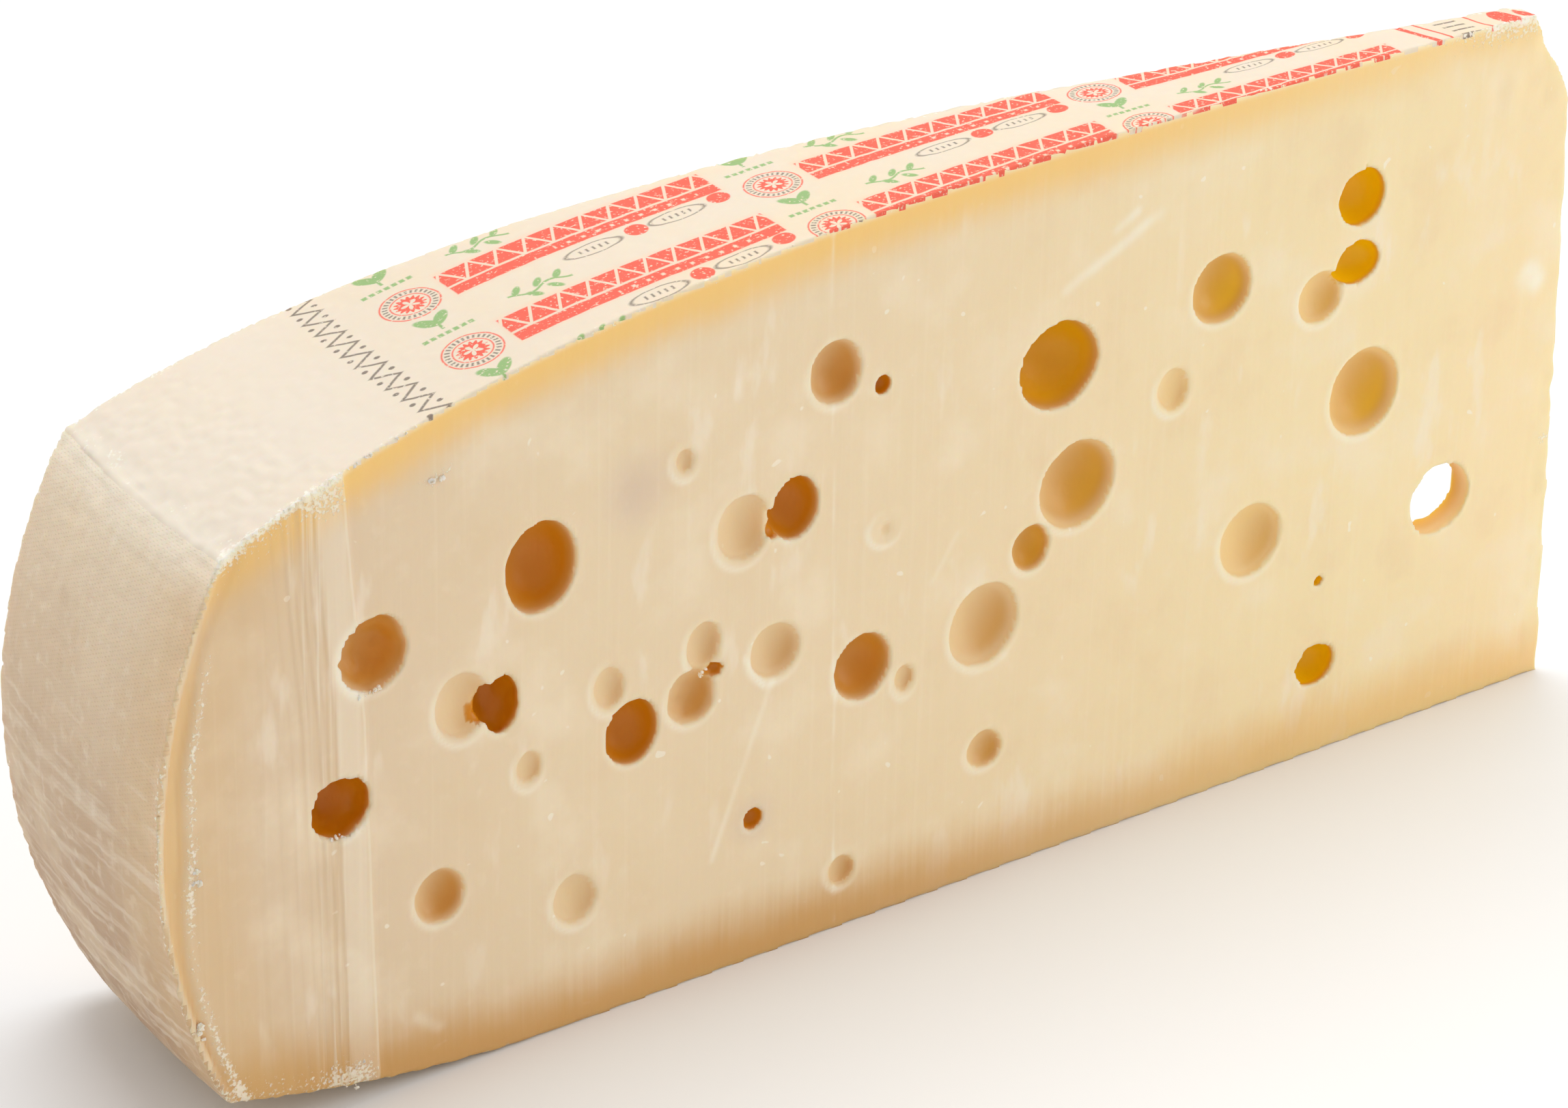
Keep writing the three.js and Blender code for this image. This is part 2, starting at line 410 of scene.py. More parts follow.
knife_wave = 0.35 * MM
knife_ripple = 0.12 * MM
blade_line = 0.05 * MM
lip_rise = 0.38 * MM
second_cut_rise = 0.5 * MM
streak_depth = 0.1 * MM
groove_sink = 0.35 * MM
seam_ridge = 0.35 * MM
gutter_sink = 1.3 * MM
shift = cut * knife_wave * noise(points, 35 * MM, 21)
shift += cut * knife_ripple * noise(points, 8 * MM, 22)
shift += cut * blade_line * noise(points * [1, 1, 0.04], 2.4 * MM, 23)
shift += lip_rise * lip * np.clip(cut, 0, 1) * (0.75 + 0.25 * noise(points, 3 * MM, 24))
shift += knife_zone * (second_cut_rise + streak_depth * streaks)
shift -= groove_sink * knife_zone * bell(past_seam, 14 * MM, 5 * MM)
shift += on_cut[-1] * seam_ridge * bell(past_seam, 0, 0.9 * MM)
shift -= gutter_sink * gutter
edge_of_cut = np.maximum(bell(below_top, 0, 1.6 * MM), bell(inside_rim, 0, 2 * MM))
edge_of_cut *= 0.1 + 0.2 * ramp(past_seam, -2 * MM, 2 * MM)
shift += MM * edge_of_cut * noise(points, 2.4 * MM, 25) * ramp(over_bottom, 0, 6 * MM)
dome_wave = 0.4 * MM
top_pore = 0.03 * MM
shift += on_top * dome_wave * noise(points, 50 * MM, 26)
shift += on_top * top_pore * noise(points, 5 * MM, 27)

cloth_slant = 0.16
arc = np.arctan2(points[:, 1], wheel_axis - points[:, 0]) * radius
slanted = height + cloth_slant * arc + 2 * MM * noise(points, 30 * MM, 41)
wrinkle_places = np.stack([0.06 * arc, 0 * arc, slanted], axis=1)
wrinkles = noise(wrinkle_places, 2.6 * MM, 42) + 0.6 * noise(wrinkle_places, 5.5 * MM, 43)
wrinkled = 0.2 + 0.8 * ramp(rim_share, 0.9, 0.5)
wrinkle_depth = 0.24 * MM
rim_wave = 0.7 * MM
shift += on_rim * (wrinkle_depth * wrinkles * wrinkled + rim_wave * noise(points, 26 * MM, 44))
crest = bell(radius, shoulder_radius + 4 * MM, 3 * MM) * bell(below_top, 0, 2.5 * MM)
crest_chips = 0.3 * MM
worn_away = 0.6 * MM
shift += crest_chips * crest * noise(points, 3.2 * MM, 45)
worn_edge = bell(np.hypot(below_top, inside_rim), 0, 2.8 * MM)
worn = worn_away * worn_edge * ramp(-np.maximum(proud[-1], proud[1]), 0, 3 * MM)
points[:, 2] -= worn
points[:, :2] -= radial * worn[:, None]

reach = -from_edge[:, 0]
tip_zone = ramp(reach, 32 * MM, 12 * MM)
torn_corner = ramp(height, 160 * MM, 185 * MM) * ramp(reach, 60 * MM, 35 * MM)
tip_tear = 0.5 * MM
corner_tear = 0.9 * MM
shift += tip_zone * tip_tear * noise(points, 5 * MM, 46) * ramp(over_bottom, 0, 6 * MM)
shift += torn_corner * corner_tear * noise(points, 6 * MM, 47)

shift *= ramp(over_bottom, 0.2 * MM, 2.5 * MM)
points += normals * shift[:, None]
points[:, 2] = np.clip(points[:, 2], 0, None)
fine.vertices.foreach_set("co", points.ravel())
fine.update()

cut = np.clip(cut, 0, 1)
edge_gap = {side: np.hypot(below_top, proud[side]) for side in faces}
rim_gap = {side: np.hypot(inside_rim, proud[side]) for side in faces}
crust = sum(bell(gap, 0, 1.5 * MM) for gap in edge_gap.values())
rim_lip = sum(bell(gap, 0, 1.8 * MM) for gap in rim_gap.values())
rimward = on_cut[-1] * ramp(past_seam, -1 * MM, 1 * MM)
frost = crust * (0.2 + 0.4 * ramp(past_seam, -2 * MM, 2 * MM) + 0.4 * noise(points, 4 * MM, 51))
frost += rim_lip * (0.35 + 0.45 * noise(points, 6 * MM, 52)) * ramp(rim_share, 1, 0.9)
frost_line = bell(inside_rim, gutter_width + 2 * MM, 1.5 * MM) * ramp(height, 150 * MM, 120 * MM)
frost += cut * frost_line * (0.68 + 0.35 * noise(points, 7 * MM, 53))
frost += 0.7 * crest * (0.2 + noise(points, 5 * MM, 55))
frost += 0.45 * rimward * ramp(below_top, 10 * MM, 1 * MM)
frost += 0.4 * rimward * ramp(over_bottom, 10 * MM, 2 * MM)
frost += 0.8 * cut * ramp(reach, 80 * MM, 40 * MM) * ramp(below_top, 9 * MM, 2 * MM)
for place, up, size, share in [(421, 163, 6, 0.6), (418, 9, 7, 0.55), (392, 161, 3, 0.6),
                               (387, 163, 2, 0.6), (17, 75, 3, 0.8), (413, 76, 1.5, 0.6)]:
    near = bell(out[-1], place * MM, size * MM) * bell(height, up * MM, 0.6 * size * MM)
    frost += share * near * on_cut[-1]
strip = on_cut[-1] * ramp(past_seam, 0, 0.8 * MM) * ramp(past_seam, 8.4 * MM, 7.4 * MM)

# White smears and scratches: from one place to another on the front face, width and strength.
smear = np.zeros(len(points))
smears = [
    ((199, 163), (168, 178), 2.2, 0.7), ((183, 176), (176, 180), 1.8, 0.6),
    ((291, 79), (309, 33), 1.3, 0.5), ((300, 88), (291, 74), 0.9, 0.4),
    ((234, 97), (212, 59), 1.6, 0.35), ((240, 92), (232, 104), 1.4, 0.4),
    ((303, 164), (303, 160), 2.2, 0.5), ((392, 14), (398, 18), 2.5, 0.45),
    ((275, 196), (269, 2), 0.6, 0.5), ((276.5, 190), (273.5, 150), 1.6, 0.2),
    ((28, 126), (29, 128), 5, 1.2),
]
for start, stop, width, strength in smears:
    start, stop = np.array(start) * MM, np.array(stop) * MM
    line = stop - start
    spot = np.stack([out[-1], height], axis=1) - start
    share = np.clip(spot @ line / max(line @ line, 1e-12), 0, 1)
    gap = np.linalg.norm(spot - share[:, None] * line, axis=1)
    patchy = 0.75 + 0.5 * noise(points, 6 * MM, 57)
    smear = np.maximum(smear, strength * patchy * bell(gap, 0, width * MM) * on_cut[-1])

# A painted highlight along the cut edges of the rinds.
edge_painted_highlight = 0.65 * crust + 0.5 * rim_lip
marks = {
    # Eye wall colour, with painted shade in the deep eyes and a painted glow.
    "eye_colour_shade_glow": eye_colour_shade_glow,
    # The pale mark holds painted highlights on the cut edges and eye lips. It also holds the real
    # pale crumb line, the cut strip and the smears.
    "pale": edge_painted_highlight + 0.62 * lip_painted_highlight + 0.25 * cut * frost_line + 0.4 * strip + smear,
    "frost": frost,
    "below_top": below_top,
    "over_bottom": over_bottom,
    "inside_rim": inside_rim,
    "out": np.where(np.abs(proud[-1]) < np.abs(proud[1]), out[-1], out[1]),
    "gutter": gutter,
    "knife_zone": knife_zone,
    "past_seam": past_seam,
    "crest": crest * (0.7 + 0.4 * noise(points, 8 * MM, 54)),
}
for name, values in marks.items():
    held = fine.attributes.new(name, "FLOAT", "POINT")
    held.data.foreach_set("value", np.ascontiguousarray(values, dtype=np.float32))

fine.materials.clear()
corners = np.empty(len(fine.loops), dtype=int)
fine.loops.foreach_get("vertex_index", corners)
starts = np.empty(len(fine.polygons), dtype=int)
fine.polygons.foreach_get("loop_start", starts)
kinds = np.stack([np.full(len(points), 0.45), on_top, on_rim, ramp(-normals[:, 2], 0.5, 0.9)])
kinds[3] *= ramp(over_bottom, 2 * MM, 1 * MM)
per_face = np.add.reduceat(kinds[:, corners], starts, axis=1)
fine.polygons.foreach_set("material_index", np.argmax(per_face, axis=0).astype(np.int32))
fine.polygons.foreach_set("use_smooth", np.ones(len(fine.polygons), dtype=bool))


# ---------------------------------------------------------------------------------------------
# The cut paste. Fresh fat hard cheese is a little clear, so light soaks in. It is yellower towards
# the tip and tan towards the rim, and crumbles white where the knife tore it. Its eyes carry
# painted shade and a painted amber glow, and its cut edges and eye lips carry painted highlights.
class Field:
    """A number that varies over a surface, worked out by maths nodes."""

    def __init__(self, socket):
        self.socket = socket

    def __add__(self, other):
        return worked("ADD", self, other)

    def __sub__(self, other):
        return worked("SUBTRACT", self, other)

    def __rsub__(self, other):
        return worked("SUBTRACT", other, self)

    def __mul__(self, other):
        return worked("MULTIPLY", self, other)

    def __truediv__(self, other):
        return worked("DIVIDE", self, other)

    def __abs__(self):
        return worked("ABSOLUTE", self)

    __radd__ = __add__
    __rmul__ = __mul__


def worked(operation, *values):
    tree = next(value.socket.id_data for value in values if isinstance(value, Field))
    node = tree.nodes.new("ShaderNodeMath")
    node.operation = operation
    for slot, value in zip(node.inputs, values):
        if isinstance(value, Field):
            tree.links.new(value.socket, slot)
        else:
            slot.default_value = value
    return Field(node.outputs[0])


def faded(field, start, stop):
    """Smooth step of a field from 0 at start to 1 at stop."""
    tree = field.socket.id_data
    node = tree.nodes.new("ShaderNodeMapRange")
    node.interpolation_type = "SMOOTHSTEP"
    tree.links.new(field.socket, node.inputs["Value"])
    node.inputs["From Min"].default_value = start
    node.inputs["From Max"].default_value = stop
    return Field(node.outputs["Result"])


def together(*masks):
    joined = masks[0]
    for mask in masks[1:]:
        joined = worked("MAXIMUM", joined, mask)
    return joined


def paint(red, green, blue):
    """A paint-chart colour, 0 to 255, as the shader's linear one."""
    shares = [part / 255 for part in (red, green, blue)]
    linear = [s / 12.92 if s <= 0.04045 else ((s + 0.055) / 1.055) ** 2.4 for s in shares]
    return (*linear, 1)


class Finish:
    """A material laid on in coats: each coat's colour is spread by a field from 0 to 1."""

    def __init__(self, name, colour, roughness):
        self.material = bpy.data.materials.new(name)
        self.material.use_nodes = True
        self.tree = self.material.node_tree
        self.skin = self.tree.nodes["Principled BSDF"]
        self.skin.inputs["Base Color"].default_value = colour
        self.skin.inputs["Roughness"].default_value = roughness
        self.skin.inputs["Subsurface Weight"].default_value = 0.35
        self.skin.inputs["Subsurface Scale"].default_value = 0.006
        self.skin.inputs["Subsurface Radius"].default_value = (1, 0.55, 0.22)
        self.skin.inputs["Specular IOR Level"].default_value = 0.35
        self.where = self.tree.nodes.new("ShaderNodeTexCoord").outputs["Object"]
        split = self.tree.nodes.new("ShaderNodeSeparateXYZ")
        self.tree.links.new(self.where, split.inputs[0])
        self.x, self.y, self.z = (Field(axis) * 1000 for axis in split.outputs)

    def mark(self, name):
        node = self.tree.nodes.new("ShaderNodeAttribute")
        node.attribute_name = name
        return Field(node.outputs["Fac"])

    def grain(self, lump, detail=2.0, stretch=(1, 1, 1), turn=(0, 0, 0)):
        """Noise from 0 to 1 with lumps of a size in millimetres, drawn out along the axes."""
        mapping = self.tree.nodes.new("ShaderNodeMapping")
        mapping.inputs["Rotation"].default_value = turn
        mapping.inputs["Scale"].default_value = [1 / part for part in stretch]
        node = self.tree.nodes.new("ShaderNodeTexNoise")
        node.inputs["Scale"].default_value = 1000 / lump
        node.inputs["Detail"].default_value = detail
        self.tree.links.new(self.where, mapping.inputs["Vector"])
        self.tree.links.new(mapping.outputs["Vector"], node.inputs["Vector"])
        return Field(node.outputs["Fac"])

    def coat(self, colour, share):
        base = self.skin.inputs["Base Color"]
        mix = self.tree.nodes.new("ShaderNodeMix")
        mix.data_type = "RGBA"
        slots = {slot.identifier: slot for slot in mix.inputs}
        if base.is_linked:
            self.tree.links.new(base.links[0].from_socket, slots["A_Color"])
        else:
            slots["A_Color"].default_value = base.default_value
        slots["B_Color"].default_value = colour
        self.tree.links.new(share.socket, slots["Factor_Float"])
        result = next(slot for slot in mix.outputs if slot.identifier == "Result_Color")
        self.tree.links.new(result, base)

    def emboss(self, height, depth):
        """Bump of a depth in millimetres where the height field runs from 0 to 1."""
        bump = self.tree.nodes.new("ShaderNodeBump")
        bump.inputs["Distance"].default_value = depth * MM
        normal = self.skin.inputs["Normal"]
        if normal.is_linked:
            self.tree.links.new(normal.links[0].from_socket, bump.inputs["Normal"])
        self.tree.links.new(height.socket, bump.inputs["Height"])
        self.tree.links.new(bump.outputs["Normal"], normal)

    def roughen(self, field):
        self.tree.links.new(field.socket, self.skin.inputs["Roughness"])


tip_yellow = paint(252, 228, 178)
rimward_tan = paint(228, 202, 169)
milky = paint(252, 234, 204)
buff = paint(232, 202, 156)
curd_white_and_highlight = paint(255, 244, 222)
rind_gold = paint(250, 198, 104)
board_brown_and_shade = paint(212, 160, 90)
# Eye wall colours, from pale lips to deep amber. The deeper ones hold painted shade, and the last
# is a painted glow.
eye_cream = paint(238, 206, 156)
eye_amber = paint(214, 150, 62)
eye_deep = paint(214, 134, 2)
painted_eye_glow = paint(255, 208, 0)

paste = Finish("cut paste", paint(240, 217, 180), 0.46)
out_mm = paste.mark("out") * 1000
mottle = paste.grain(26, 4)
fine_mottle = paste.grain(5, 3)
wire_lines = paste.grain(1.6, 2, stretch=(1, 1, 60))
# Yellower towards the tip and tan towards the rim.
paste.coat(tip_yellow, faded(out_mm, 320, 60) * 0.9)
paste.coat(rimward_tan, faded(out_mm, 330, 450) * 0.85)
paste.coat(milky, faded(mottle, 0.5, 0.72) * 0.45)
paste.coat(buff, faded(mottle, 0.46, 0.3) * 0.2)
paste.coat(paint(250, 230, 200), faded(fine_mottle, 0.55, 0.8) * 0.22)
paste.coat(paint(255, 238, 210), faded(wire_lines, 0.52, 0.75) * 0.10)

smear_flecks = paste.grain(8, 3, stretch=(1, 1, 3), turn=(0, math.radians(-28), 0))
smear_patches = paste.grain(42, 1)
paste.coat(
    paint(252, 238, 216), faded(smear_flecks, 0.56, 0.7) * faded(smear_patches, 0.48, 0.6) * 0.4
)
specks = paste.grain(3.2, 0)
paste.coat(paint(255, 244, 224), faded(specks, 0.83, 0.87) * 0.6)

drift = mottle * 9 - 4.5 + (wire_lines - 0.5) * 5
under_rind = paste.mark("below_top") * 1000 + drift * 0.45
paste.coat(rind_gold, faded(under_rind, 17, 1) * faded(out_mm, -60, 260) * 0.9)
paste.coat(paint(252, 214, 138), faded(under_rind, 12, 1) * 0.5)
# A band along the underside. It is yellower towards the tip. Towards the rim it is darker, partly
# the board's stain and partly painted shade.
bottom_band = faded(paste.mark("over_bottom") * 1000 + drift * 0.8, 23, 3)
paste.coat(paint(246, 200, 116), bottom_band * faded(out_mm, 300, 60) * 0.6)
paste.coat(board_brown_and_shade, bottom_band * (faded(out_mm, 40, 300) * 0.8 + 0.12))
rim_band = faded(paste.mark("inside_rim") * 1000 + drift, 34, 10)
paste.coat(paint(224, 184, 124), rim_band * 0.4)
paste.coat(paint(236, 198, 138), faded(paste.mark("gutter"), 0.15, 0.9) * 0.75)

stains = together(*(
    faded(worked("SQRT", (out_mm - a) * (out_mm - a) + (paste.z - b) * (paste.z - b)), size, 0)
    for a, b, size in [(333, 143, 15), (296, 41, 10)]
))
paste.coat(paint(196, 170, 176), stains * faded(paste.y, 0, -2) * 0.25)

# The eyes run from pale cream at the lips to deep amber. This is partly the walls' own colour and
# partly painted shade. Near the thin tip they get a painted golden glow.
eye_colour_shade_glow = paste.mark("eye_colour_shade_glow")
near_tip = faded(out_mm, 280, 90)
paste.coat(eye_cream, faded(eye_colour_shade_glow, 0.0, 0.3) * 0.8)
paste.coat(paint(250, 212, 134), faded(eye_colour_shade_glow, 0.02, 0.3) * near_tip * 0.6)
paste.coat(eye_amber, faded(eye_colour_shade_glow, 0.25, 0.62) * 0.95)
paste.coat(eye_deep, faded(eye_colour_shade_glow, 0.5, 0.85))
paste.coat(painted_eye_glow, faded(eye_colour_shade_glow, 0.34, 0.82) * near_tip * 0.97)
# Pale coat: painted highlights on the edges and eye lips, laid with real pale crumbs and smears.
paste.coat(curd_white_and_highlight, faded(paste.mark("pale"), 0.05, 1.0) * 0.9)
powdery = paste.grain(0.9, 3)
frost_mark = paste.mark("frost")
frosted = faded(frost_mark + (powdery - 0.5) * 2.6, 0.5, 0.95) * faded(frost_mark, 0.02, 0.12)
paste.coat(curd_white_and_highlight, frosted * 0.8)
paste.roughen(0.46 + fine_mottle * 0.14 - faded(eye_colour_shade_glow, 0.1, 0.6) * 0.12)
past_seam = paste.mark("past_seam") * 1000 + (paste.grain(14, 0, stretch=(1, 1, 6)) - 0.5) * 2.2
groove_run = faded(paste.grain(30, 1, stretch=(0.12, 0.12, 1)), 0.3, 0.6) * 0.6 + 0.4
grooves = together(*(
    faded(abs(past_seam - place), width, 0) * strength
    for place, width, strength in [(8.8, 1.0, 0.9), (11.0, 0.8, 0.6), (12.9, 0.9, 0.8),
                                   (14.9, 0.8, 0.6), (17.0, 1.2, 0.9), (20.4, 1.0, 0.35),
                                   (24.5, 1.4, 0.3), (30.0, 1.8, 0.2)]
)) * paste.mark("knife_zone") * groove_run
seam_line = faded(abs(paste.mark("past_seam") * 1000 - 0.2), 0.7, 0.1)
seam_line = seam_line * faded(paste.mark("knife_zone"), 0.02, 0.3)
combed = paste.mark("knife_zone") * faded(past_seam, 19, 8) * faded(past_seam, 6, 9)
# Painted shade in the knife grooves.
paste.coat(paint(212, 180, 138), grooves * 0.3)
paste.coat(paint(220, 188, 146), faded(wire_lines, 0.5, 0.36) * combed * 0.4)
paste.coat(paint(250, 238, 214), faded(wire_lines, 0.52, 0.66) * combed * 0.5)
# A painted highlight along the seam ridge.
paste.coat(curd_white_and_highlight, seam_line * 0.3)
paste.emboss(1 - grooves, 0.2)
paste.emboss(wire_lines, 0.06)
paste.emboss(paste.grain(2.2, 3), 0.10)
paste.emboss(paste.grain(0.7, 2) * frosted, 0.28)


# ---------------------------------------------------------------------------------------------
# The top rind. It is washed, smooth and dry, and the dairy stamps its pattern on it in red, green
# and grey food ink from an edible sheet. The ornaments here are plain ones.
top_rind = Finish("top rind", paint(232, 217, 195), 0.6)
cloud = top_rind.grain(34, 4)
pores = top_rind.grain(2.4, 4)
radius_mm = worked("SQRT", (top_rind.x - wheel_axis / MM) * (top_rind.x - wheel_axis / MM)
                   + top_rind.y * top_rind.y)
top_rind.coat(paint(236, 216, 182), faded(cloud, 0.42, 0.66) * 0.5)
top_rind.coat(paint(238, 226, 210), faded(radius_mm, 318, 368) * 0.6)
top_rind.coat(paint(254, 243, 224), faded(pores, 0.5, 0.7) * 0.06)
top_rind.coat(paint(236, 208, 172), faded(pores, 0.44, 0.3) * 0.06)

ink_wear = faded(top_rind.grain(0.9, 3), 0.29, 0.43)
ink_red = paint(240, 86, 64)
ink_green = paint(138, 180, 108)
ink_grey = paint(98, 84, 74)
pitch_along = 98.5
pitch_across = 31.5
first_seal = -31
print_line = 0.25
past_seal = worked("WRAP", top_rind.x - first_seal, pitch_along - 10, -10)
cell = (top_rind.x - first_seal - past_seal) / pitch_along
row_lift = cell * cell * 4.05 - cell * 1.85 + past_seal * 0.06 + 6.5
row_squeeze = worked("MINIMUM", 1 - (top_rind.x + 60) * 0.0018, 1)
row = (top_rind.y - row_lift) / row_squeeze


def centred(across, up):
    """Places in every printed cell, measured from a point given from the middle of its seal."""
    a = worked("WRAP", top_rind.x - (first_seal + across), pitch_along / 2, -pitch_along / 2)
    b = worked("WRAP", row - up, pitch_across / 2, -pitch_across / 2)
    return a, b


def filled(distance):
    """1 where a distance in millimetres is negative, with a soft edge."""
    return faded(distance, print_line, -print_line)


def oval(a, b, half_length, half_height, tilt=0.0):
    turned_a = a * math.cos(tilt) + b * math.sin(tilt)
    turned_b = b * math.cos(tilt) - a * math.sin(tilt)
    turned_a = turned_a / half_length
    turned_b = turned_b / half_height
    return (worked("SQRT", turned_a * turned_a + turned_b * turned_b) - 1) * half_height


def block(a, b, half_length, half_height):
    return worked("MAXIMUM", abs(a) - half_length, abs(b) - half_height)


def dashes(a, pitch, half_width):
    """A row of strokes along a, as distances in millimetres."""
    return abs(worked("WRAP", a, pitch / 2, -pitch / 2)) - half_width


seal_a, seal_b = centred(0, 0)
seal_radius = worked("SQRT", seal_a * seal_a + seal_b * seal_b)
seal_turn = worked("ARCTAN2", seal_b, seal_a)
outer_ring = filled(abs(seal_radius - 7.6) - 0.22)
inner_ring = filled(abs(seal_radius - 5.0) - 0.2)
beads = filled(worked("MAXIMUM", abs(seal_radius - 6.3) - 0.65, dashes(seal_turn * 6.3, 1.32, 0.3)))
sun_edge = 3.7 + 0.55 * worked("SINE", seal_turn * 16)
flower = filled(seal_radius - 2.5 * abs(worked("SINE", seal_turn * 2.5)))
rosette = together(outer_ring, inner_ring, filled(seal_radius - sun_edge) * (1 - flower))

band_a, band_b = centred(48.7, 3.4)
tooth = abs(worked("WRAP", band_a, 4.1, -4.1)) - 4.1 * 0.5
slope = tooth * 2.1
upright = filled(together(slope - band_b + 0.95, block(band_a, band_b, 38.3, 3.75)))
hanging = filled(together(band_b - slope + 0.95, block(band_a, band_b, 38.3, 3.75)))
bar_a, bar_b = centred(48.7, -3.5)
bar = filled(block(bar_a, bar_b, 38.3, 2.2))
notches_a, notches_b = centred(60, -3.6)
notches = filled(together(block(notches_a, notches_b, 21, 0.6), dashes(notches_a, 4.2, 0.5)))
dots = together(*(filled(oval(*centred(across, up), 3.1, 3.1)) for across, up in
                  [(59, -10), (84, -9)]))

sprig_a, sprig_b = centred(0, -12.2)
sprig = together(
    filled(oval(sprig_a + 1.9, sprig_b - 0.4, 3.6, 1.7, 2.3)),
    filled(oval(sprig_a - 1.9, sprig_b - 0.4, 3.6, 1.7, 0.85)),
    filled(block(sprig_a, sprig_b + 2.4, 0.4, 2.4)),
)
ticks_a, ticks_b = centred(0, -19.4)
green_ticks = filled(together(block(ticks_a, ticks_b, 7.4, 0.75), dashes(ticks_a, 2.1, 0.7)))
stem_a, stem_b = centred(26.5, 13.4)
stem = filled(together(abs(stem_b - 1.2 * worked("SINE", stem_a * 0.55)) - 0.42, abs(stem_a) - 8.5))
leaves = together(*(
    filled(oval(stem_a - place, stem_b - side * 2.3, 2.3, 1.0, side * 0.9))
    for place, side in [(-5.6, 1), (-2.8, -1), (0.4, 1), (3.2, -1), (6.0, 1)]
))

tags = [centred(46, -11), centred(71, -10)]
tag_edge = together(*(filled(abs(oval(a, b, 8, 2.8)) - 0.17) for a, b in tags))
tag_strokes = together(
    *(filled(together(block(a, b, 4.6, 0.85), dashes(a, 1.9, 0.28))) for a, b in tags)
)
ring_arc = worked("ARCTAN2", top_rind.y, wheel_axis / MM - top_rind.x) * 338.5
ring_row = radius_mm - 338.5
zigzag = (abs(worked("WRAP", ring_arc, 3.6, -3.6)) - 1.8) * 1.7
zigzag_line = filled(abs(ring_row - zigzag) * 0.5 - 0.36)
dots_inside = filled(oval(worked("WRAP", ring_arc, 3.6, -3.6), ring_row - 2.6, 0.62, 0.8))
dots_outside = filled(oval(worked("WRAP", ring_arc + 3.6, 3.6, -3.6), ring_row + 2.6, 0.62, 0.8))
stamped = filled(radius_mm - 329) * filled(top_rind.x - 156)

tip_x = top_rind.x - wheel_axis / MM + top_rind.y * 0.3
wide_stripe = filled(abs(tip_x + 22.5) - 1.0)
thin_stripe = filled(abs(tip_x + 17.5) - 0.45)
far_stripe = filled(abs(tip_x + 2.5) - 0.4)
lozenges = together(filled(oval(tip_x - 6, top_rind.y + 1, 3.4, 5.0)),
                    filled(oval(tip_x - 13, top_rind.y + 1, 2.0, 4.0)))
tip_marks = together(wide_stripe, thin_stripe, far_stripe, lozenges)
comb = filled(together(abs(tip_x + 10) - 3.6, dashes(top_rind.y - 0.4, 3.0, 0.38)))

reds = together(rosette, upright, hanging, bar * (1 - notches), dots) * stamped
bleed = faded(abs(band_b + 2.4) - 6.5, 2.2, 0) * faded(abs(band_a) - 38, 2.2, 0) * stamped
top_rind.coat(paint(250, 190, 160), bleed * 0.2)
top_rind.coat(ink_red, together(reds, tip_marks) * ink_wear * 0.93)
top_rind.coat(ink_green, together(sprig, green_ticks, stem, leaves) * stamped * ink_wear * 0.9)
stamped_greys = together(tag_edge, tag_strokes, beads) * stamped
greys = together(stamped_greys, zigzag_line, dots_inside, dots_outside, comb)
top_rind.coat(ink_grey, greys * ink_wear * 0.8)
# A painted highlight along the shoulder crest.
top_rind.coat(paint(252, 242, 224), faded(top_rind.mark("crest"), 0.0, 1.0) * 0.6)
powder = top_rind.grain(1.1, 3)
top_frost = top_rind.mark("frost")
top_powdered = faded(top_frost + (powder - 0.5) * 2.6, 0.5, 0.95) * faded(top_frost, 0.02, 0.12)
top_rind.coat(paint(255, 248, 234), top_powdered * 0.85)
top_rind.roughen(0.56 + pores * 0.2)
top_rind.emboss(pores, 0.012)


# ---------------------------------------------------------------------------------------------
# The rim rind. The cheese swelled against a cloth in its round mould, so the print of the weave
# and the cloth's creases stay in the dry, dull rind.
rim_rind = Finish("rim rind", paint(227, 201, 169), 0.7)
rim_cloud = rim_rind.grain(30, 4)
dusty = rim_rind.grain(4, 4)
level = rim_rind.z + rim_rind.grain(30, 1) * 6
# Painted light and shade: the rim is paler towards its top and darker towards its foot.
rim_rind.coat(paint(243, 225, 197), faded(level, 112, 160) * 0.85)
rim_rind.coat(paint(180, 145, 116), faded(level, 125, 20) * 0.85)
rim_rind.coat(paint(238, 216, 184), faded(rim_cloud, 0.5, 0.7) * 0.5)
rim_rind.coat(paint(200, 168, 136), faded(rim_cloud, 0.46, 0.32) * 0.35)
rim_rind.coat(paint(244, 228, 204), faded(dusty, 0.52, 0.72) * 0.35)
rim_rind.coat(paint(230, 196, 148), faded(rim_rind.y, -14, -40) * 0.45)
cloth_pitch = 1.1
cloth_turn = 2 * math.pi / cloth_pitch
rim_arc = worked("ARCTAN2", rim_rind.y, wheel_axis / MM - rim_rind.x) * 400
thread = (rim_rind.z + rim_arc * 0.5) * cloth_turn
weft = (rim_rind.z - rim_arc * 0.5) * cloth_turn
pit = (worked("SINE", thread) * 0.5 + 0.5) * (worked("SINE", weft) * 0.5 + 0.5)
weave = 1 - faded(pit, 0.35, 1.0) * faded(rim_rind.z, 40, 110)
creases = rim_rind.grain(3.0, 2, stretch=(1, 14, 1), turn=(math.radians(9), 0, 0))
folded = creases - (1 - faded(rim_rind.z, 125, 85)) * 0.2
rim_rind.coat(paint(244, 228, 204), faded(folded, 0.5, 0.68) * 0.4)
# Painted shade in the pits of the cloth weave.
rim_rind.coat(paint(190, 160, 130), (1 - weave) * 0.2)
# A painted highlight along the rim's upper edge.
rim_rind.coat(paint(252, 240, 220), faded(rim_rind.z + rim_rind.grain(12, 2) * 6, 146, 161) * 0.8)
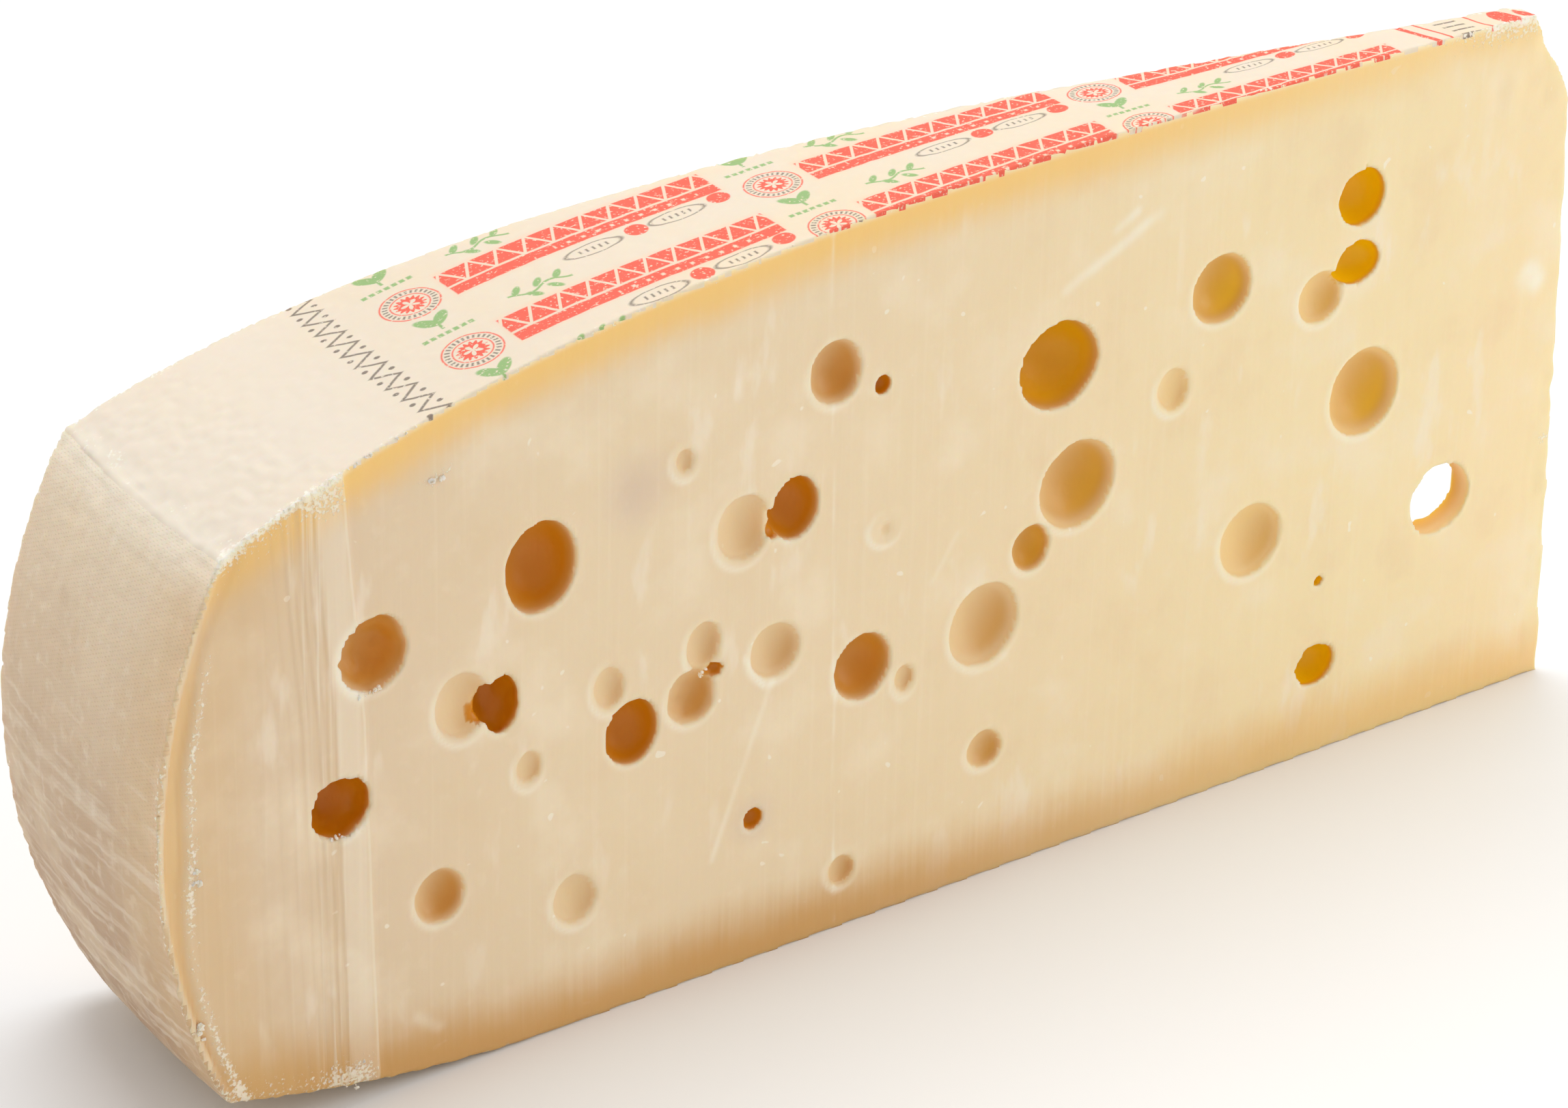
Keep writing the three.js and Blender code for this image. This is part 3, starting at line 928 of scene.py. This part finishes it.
# A painted highlight along the shoulder crest.
rim_rind.coat(paint(250, 238, 216), faded(rim_rind.mark("crest"), 0.0, 0.9) * 0.8)
rim_powder = rim_rind.grain(1.1, 3)
rim_frost = rim_rind.mark("frost")
rim_powdered = faded(rim_frost + (rim_powder - 0.5) * 2.6, 0.5, 0.95) * faded(rim_frost, 0.02, 0.12)
rim_rind.coat(paint(255, 246, 230), rim_powdered * 0.85)
rim_rind.emboss(weave, 0.07)
rim_rind.emboss(creases, 0.5)
rim_rind.emboss(dusty, 0.2)


# ---------------------------------------------------------------------------------------------
# The underside. It is the same dry rind, pressed flat and a little darker from the ripening board.
underside = Finish("underside rind", paint(216, 188, 150), 0.7)
board_grain = underside.grain(4, 4, stretch=(9, 1, 1))
underside.coat(paint(196, 160, 112), faded(board_grain, 0.45, 0.7) * 0.5)
underside.coat(paint(236, 214, 180), faded(underside.grain(18, 4), 0.5, 0.7) * 0.5)
underside.emboss(board_grain, 0.3)

for finish in (paste, top_rind, rim_rind, underside):
    fine.materials.append(finish.material)
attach(wedge, "root")
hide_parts("cheese_wedge")


# ---------------------------------------------------------------------------------------------
# The crumbs. Dry chips of rind and torn paste cling along the knife's edges and in ragged eyes.
# Each heap is given by its number of chips, its middle, its spread, and the chips' size.
heaps = [
    (16, (423, 165.5), (7, 2.2), 0.7),
    (14, (418, 9), (7, 4), 0.7),
    (7, (411, 111.5), (5, 0.8), 0.8),
    (6, (419, 75.2), (5, 0.7), 0.7),
    (6, (459.5, 77), (1.6, 3.0), 1.0),
    (4, (459, 35), (0.8, 3), 0.8),
    (4, (391, 161), (3.5, 1.4), 1.2),
    (4, (313, 87.7), (1.6, 0.8), 0.6),
]
edge_chips = 24
draw = np.random.default_rng(7)
chips = bmesh.new()


def rind_height(out):
    return float(top_height(radius_of(*(Vector((sharp_edge, 0, 0)) + along_face(-1) * out).xy)))


def add_chip(out, up, size):
    place = Vector((sharp_edge, 0, up)) + along_face(-1) * out + outward(-1) * 0.1 * size
    lengths = size * draw.uniform(0.25, 1.3, 3)
    turn = Matrix.Rotation(draw.uniform(0, math.tau), 3, Vector(draw.uniform(-1, 1, 3)))
    for vertex in bmesh.ops.create_icosphere(chips, subdivisions=2, radius=1)["verts"]:
        knock = draw.uniform(0.55, 1.2)
        vertex.co = place + turn @ Vector(c * part * knock for c, part in zip(vertex.co, lengths))


for count, middle, spread, size in heaps:
    for _ in range(count):
        out_there, up_there = (m + s * draw.normal(0, 0.5) for m, s in zip(middle, spread))
        up_there = np.clip(up_there * MM, 1.2 * MM, rind_height(out_there * MM) - 0.2 * MM)
        add_chip(out_there * MM, up_there, size * draw.uniform(0.5, 1.3) * MM)
for _ in range(edge_chips):
    along_edge = draw.uniform(395, 440) * MM
    drop = draw.uniform(0.0, 0.9) * MM
    add_chip(along_edge, rind_height(along_edge) - drop, draw.uniform(0.3, 0.65) * MM)

crumbs = bpy.data.objects.new("crumbs", bpy.data.meshes.new("crumbs"))
scene.collection.objects.link(crumbs)
chips.to_mesh(crumbs.data)
chips.free()
dry = Finish("dry crumb", paint(252, 240, 218), 0.75)
dry.coat(paint(240, 212, 164), faded(dry.grain(1.2, 2), 0.5, 0.7) * 0.6)
dry.emboss(dry.grain(0.5, 2), 0.2)
crumbs.data.materials.append(dry.material)
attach(crumbs, "root")


# ---------------------------------------------------------------------------------------------
# A plain pale floor and soft light.
floor_mesh = bpy.data.meshes.new("floor")
floor_mesh.from_pydata([(-4, -4, 0), (4, -4, 0), (4, 4, 0), (-4, 4, 0)], [], [(0, 1, 2, 3)])
floor = bpy.data.objects.new("floor", floor_mesh)
scene.collection.objects.link(floor)
pale = bpy.data.materials.new("pale floor")
pale.use_nodes = True
pale.node_tree.nodes["Principled BSDF"].inputs["Base Color"].default_value = (0.95, 0.95, 0.95, 1)
floor.data.materials.append(pale)

world = bpy.data.worlds.new("studio")
scene.world = world
world.use_nodes = True
world.node_tree.nodes["Background"].inputs["Color"].default_value = (1, 1, 1, 1)
world.node_tree.nodes["Background"].inputs["Strength"].default_value = 0.65
scene.view_settings.view_transform = "Standard"


def soft_light(name, place, size, power):
    lamp = bpy.data.objects.new(name, bpy.data.lights.new(name, "AREA"))
    lamp.data.size = size
    lamp.data.energy = power
    lamp.location = place
    lamp.rotation_euler = (Vector((0, 0, 0.1)) - Vector(place)).to_track_quat("-Z", "Y").to_euler()
    scene.collection.objects.link(lamp)


soft_light("above", (0.1, 0.5, 1.6), 1.2, 14)
soft_light("tip side", (1.4, -0.9, 0.8), 0.9, 7)
